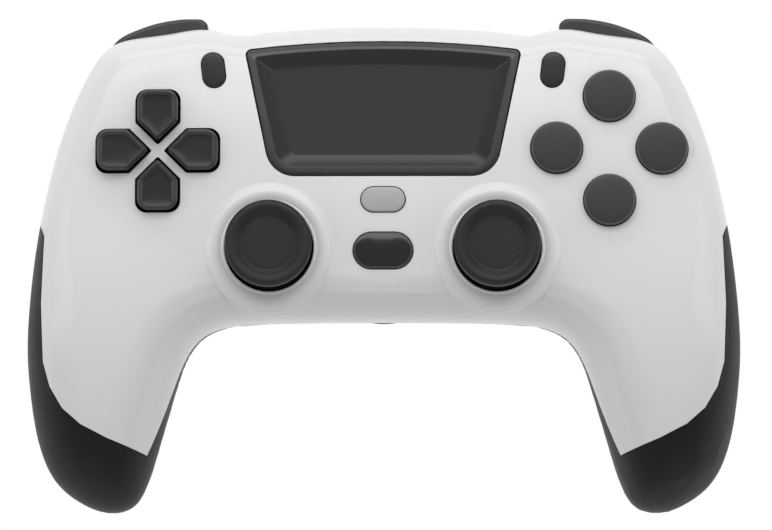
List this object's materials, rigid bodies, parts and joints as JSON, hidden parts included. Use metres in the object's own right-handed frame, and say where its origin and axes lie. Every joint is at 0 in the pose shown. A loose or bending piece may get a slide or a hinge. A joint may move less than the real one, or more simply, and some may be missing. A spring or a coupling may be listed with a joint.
{
  "type": "gamepad controller",
  "caption": "two-handled gamepad controller with thumb sticks, direction pad, face buttons, touchpad, bumpers and triggers",
  "frame": {"origin": "centre of the underside of the bounding box, on the table the controller lies on", "axes": "+X to the right of the controls, +Y towards the triggers, +Z out of the control face"},
  "size_m": [0.1598, 0.109, 0.0562],
  "materials": {
    "white_shell": "smooth white moulded plastic with a soft sheen",
    "black_grip": "fine-grained soft-touch black plastic",
    "black_gloss": "polished black plastic",
    "black_satin": "satin black plastic with a fine-grained touch area",
    "black_key": "fine-grained black plastic",
    "black_button": "matte dark grey plastic",
    "grey_button": "light grey plastic",
    "black_rubber": "matte black rubber",
    "dome_rubber": "soft grey silicone",
    "inner_black": "plain black moulding",
    "inner_grey": "plain grey moulding",
    "board_green": "circuit board laminate",
    "switch_metal": "bright stamped steel",
    "sensor_body": "dark moulded sensor cases",
    "screw_steel": "plated steel",
    "battery_wrap": "dark film wrap"
  },
  "bodies": {
    "housing": {"front_shell": "white_shell", "rear_shell": "black_grip", "mid_frame": "inner_black", "main_board": "board_green", "touch_click_switch": "switch_metal", "button_switches": "switch_metal", "action_rubber_pad": "dome_rubber", "dpad_rubber_pad": "dome_rubber", "battery": "battery_wrap", "usb_port": "switch_metal", "headset_jack": "inner_black", "housing_screws": "screw_steel", "board_screws": "screw_steel", "left_shoulder_frame": "inner_black", "left_bumper_switch": "sensor_body", "left_rumble_motor": "switch_metal", "left_stick_housing": "switch_metal", "left_stick_sensors": "sensor_body", "left_click_switch": "sensor_body", "left_trigger_spring": "switch_metal", "right_shoulder_frame": "inner_black", "right_bumper_switch": "sensor_body", "right_rumble_motor": "switch_metal", "right_stick_housing": "switch_metal", "right_stick_sensors": "sensor_body", "right_click_switch": "sensor_body", "right_trigger_spring": "switch_metal"},
    "touchpad": {"touchpad_cover": "black_satin", "touch_sensor_board": "board_green"},
    "dpad_pivot": {"dpad_pivot": "inner_black"},
    "dpad": {"dpad": "black_key"},
    "face_button_top": {"face_button_top": "black_button"},
    "face_button_right": {"face_button_right": "black_button"},
    "face_button_bottom": {"face_button_bottom": "black_button"},
    "face_button_left": {"face_button_left": "black_button"},
    "left_menu_button": {"left_menu_button": "black_key"},
    "right_menu_button": {"right_menu_button": "black_key"},
    "home_button": {"home_button": "black_gloss"},
    "mode_button": {"mode_button": "grey_button"},
    "left_lower_rocker": {"left_lower_rocker": "inner_grey"},
    "left_pivot_pin": {"left_pivot_pin": "switch_metal"},
    "left_stick": {"left_stick_lever": "switch_metal", "left_stick_cap": "black_rubber"},
    "left_upper_rocker": {"left_upper_rocker": "inner_grey"},
    "left_bumper": {"left_bumper": "black_gloss"},
    "left_trigger": {"left_trigger": "black_gloss", "left_trigger_pin": "switch_metal"},
    "left_rumble_weight": {"left_rumble_weight": "switch_metal"},
    "right_lower_rocker": {"right_lower_rocker": "inner_grey"},
    "right_pivot_pin": {"right_pivot_pin": "switch_metal"},
    "right_stick": {"right_stick_lever": "switch_metal", "right_stick_cap": "black_rubber"},
    "right_upper_rocker": {"right_upper_rocker": "inner_grey"},
    "right_bumper": {"right_bumper": "black_gloss"},
    "right_trigger": {"right_trigger": "black_gloss", "right_trigger_pin": "switch_metal"},
    "right_rumble_weight": {"right_rumble_weight": "switch_metal"}
  },
  "joints": [
    {"name": "touchpad_hinge", "type": "hinge", "parent": "housing", "child": "touchpad", "pos_m": [0, 0.0475, 0.04], "axis": [1, 0, 0], "range_deg": [0, 0.9], "stiffness_Nm_per_rad": 0.2, "springref_deg": -0.57},
    {"name": "dpad_sideways", "type": "hinge", "parent": "housing", "child": "dpad_pivot", "pos_m": [-0.05, 0.0239, 0.0383], "axis": [0, 1, 0], "range_deg": [-2, 2], "stiffness_Nm_per_rad": 0.05},
    {"name": "dpad_updown", "type": "hinge", "parent": "dpad_pivot", "child": "dpad", "pos_m": [-0.05, 0.0239, 0.0383], "axis": [1, 0, 0], "range_deg": [-2, 2], "stiffness_Nm_per_rad": 0.05},
    {"name": "face_button_top_press", "type": "slide", "parent": "housing", "child": "face_button_top", "axis": [0, 0, -1], "range_m": [0, 0.001], "stiffness_N_per_m": 300, "springref_m": -0.0005},
    {"name": "face_button_right_press", "type": "slide", "parent": "housing", "child": "face_button_right", "axis": [0, 0, -1], "range_m": [0, 0.001], "stiffness_N_per_m": 300, "springref_m": -0.0005},
    {"name": "face_button_bottom_press", "type": "slide", "parent": "housing", "child": "face_button_bottom", "axis": [0, 0, -1], "range_m": [0, 0.001], "stiffness_N_per_m": 300, "springref_m": -0.0005},
    {"name": "face_button_left_press", "type": "slide", "parent": "housing", "child": "face_button_left", "axis": [0, 0, -1], "range_m": [0, 0.001], "stiffness_N_per_m": 300, "springref_m": -0.0005},
    {"name": "left_menu_button_press", "type": "slide", "parent": "housing", "child": "left_menu_button", "axis": [0, 0, -1], "range_m": [0, 0.0005], "stiffness_N_per_m": 400, "springref_m": -0.0004},
    {"name": "right_menu_button_press", "type": "slide", "parent": "housing", "child": "right_menu_button", "axis": [0, 0, -1], "range_m": [0, 0.0005], "stiffness_N_per_m": 400, "springref_m": -0.0004},
    {"name": "home_button_press", "type": "slide", "parent": "housing", "child": "home_button", "axis": [0, 0, -1], "range_m": [0, 0.0005], "stiffness_N_per_m": 400, "springref_m": -0.0004},
    {"name": "mode_button_press", "type": "slide", "parent": "housing", "child": "mode_button", "axis": [0, 0, -1], "range_m": [0, 0.0005], "stiffness_N_per_m": 400, "springref_m": -0.0004},
    {"name": "left_stick_sideways", "type": "hinge", "parent": "housing", "child": "left_lower_rocker", "pos_m": [-0.02525, 0.00215, 0.033], "axis": [0, 1, 0], "range_deg": [-15, 15], "stiffness_Nm_per_rad": 0.02},
    {"name": "left_stick_updown", "type": "hinge", "parent": "left_lower_rocker", "child": "left_pivot_pin", "pos_m": [-0.02525, 0.00215, 0.033], "axis": [1, 0, 0], "range_deg": [-15, 15], "stiffness_Nm_per_rad": 0.02},
    {"name": "left_stick_click", "type": "slide", "parent": "left_pivot_pin", "child": "left_stick", "axis": [0, 0, -1], "range_m": [0, 0.0005], "stiffness_N_per_m": 2000, "springref_m": -0.0003},
    {"name": "left_rocker_turn", "type": "hinge", "parent": "housing", "child": "left_upper_rocker", "pos_m": [-0.02525, 0.00215, 0.033], "axis": [1, 0, 0], "range_deg": [-15, 15]},
    {"name": "left_bumper_press", "type": "hinge", "parent": "housing", "child": "left_bumper", "pos_m": [-0.0355, 0.045, 0.0282], "axis": [0, 0, 1], "range_deg": [0, 2.4], "stiffness_Nm_per_rad": 0.3, "springref_deg": -1.15},
    {"name": "left_trigger_pull", "type": "hinge", "parent": "housing", "child": "left_trigger", "pos_m": [-0.05, 0.044, 0.018], "axis": [1, 0, 0], "range_deg": [-16, 0], "stiffness_Nm_per_rad": 0.05, "springref_deg": 11.46},
    {"name": "left_rumble_turn", "type": "hinge", "parent": "housing", "child": "left_rumble_weight", "pos_m": [-0.056, -0.02, 0.02], "axis": [1, 0, 0], "continuous": true},
    {"name": "right_stick_sideways", "type": "hinge", "parent": "housing", "child": "right_lower_rocker", "pos_m": [0.02525, 0.00215, 0.033], "axis": [0, 1, 0], "range_deg": [-15, 15], "stiffness_Nm_per_rad": 0.02},
    {"name": "right_stick_updown", "type": "hinge", "parent": "right_lower_rocker", "child": "right_pivot_pin", "pos_m": [0.02525, 0.00215, 0.033], "axis": [1, 0, 0], "range_deg": [-15, 15], "stiffness_Nm_per_rad": 0.02},
    {"name": "right_stick_click", "type": "slide", "parent": "right_pivot_pin", "child": "right_stick", "axis": [0, 0, -1], "range_m": [0, 0.0005], "stiffness_N_per_m": 2000, "springref_m": -0.0003},
    {"name": "right_rocker_turn", "type": "hinge", "parent": "housing", "child": "right_upper_rocker", "pos_m": [0.02525, 0.00215, 0.033], "axis": [1, 0, 0], "range_deg": [-15, 15]},
    {"name": "right_bumper_press", "type": "hinge", "parent": "housing", "child": "right_bumper", "pos_m": [0.0355, 0.045, 0.0282], "axis": [0, 0, -1], "range_deg": [0, 2.4], "stiffness_Nm_per_rad": 0.3, "springref_deg": -1.15},
    {"name": "right_trigger_pull", "type": "hinge", "parent": "housing", "child": "right_trigger", "pos_m": [0.05, 0.044, 0.018], "axis": [1, 0, 0], "range_deg": [-16, 0], "stiffness_Nm_per_rad": 0.05, "springref_deg": 11.46},
    {"name": "right_rumble_turn", "type": "hinge", "parent": "housing", "child": "right_rumble_weight", "pos_m": [0.056, -0.02, 0.02], "axis": [1, 0, 0], "continuous": true}
  ],
  "couplings": [
    {"joint": "left_rocker_turn", "follows": "left_stick_updown", "ratio": 1},
    {"joint": "right_rocker_turn", "follows": "right_stick_updown", "ratio": 1}
  ]
}
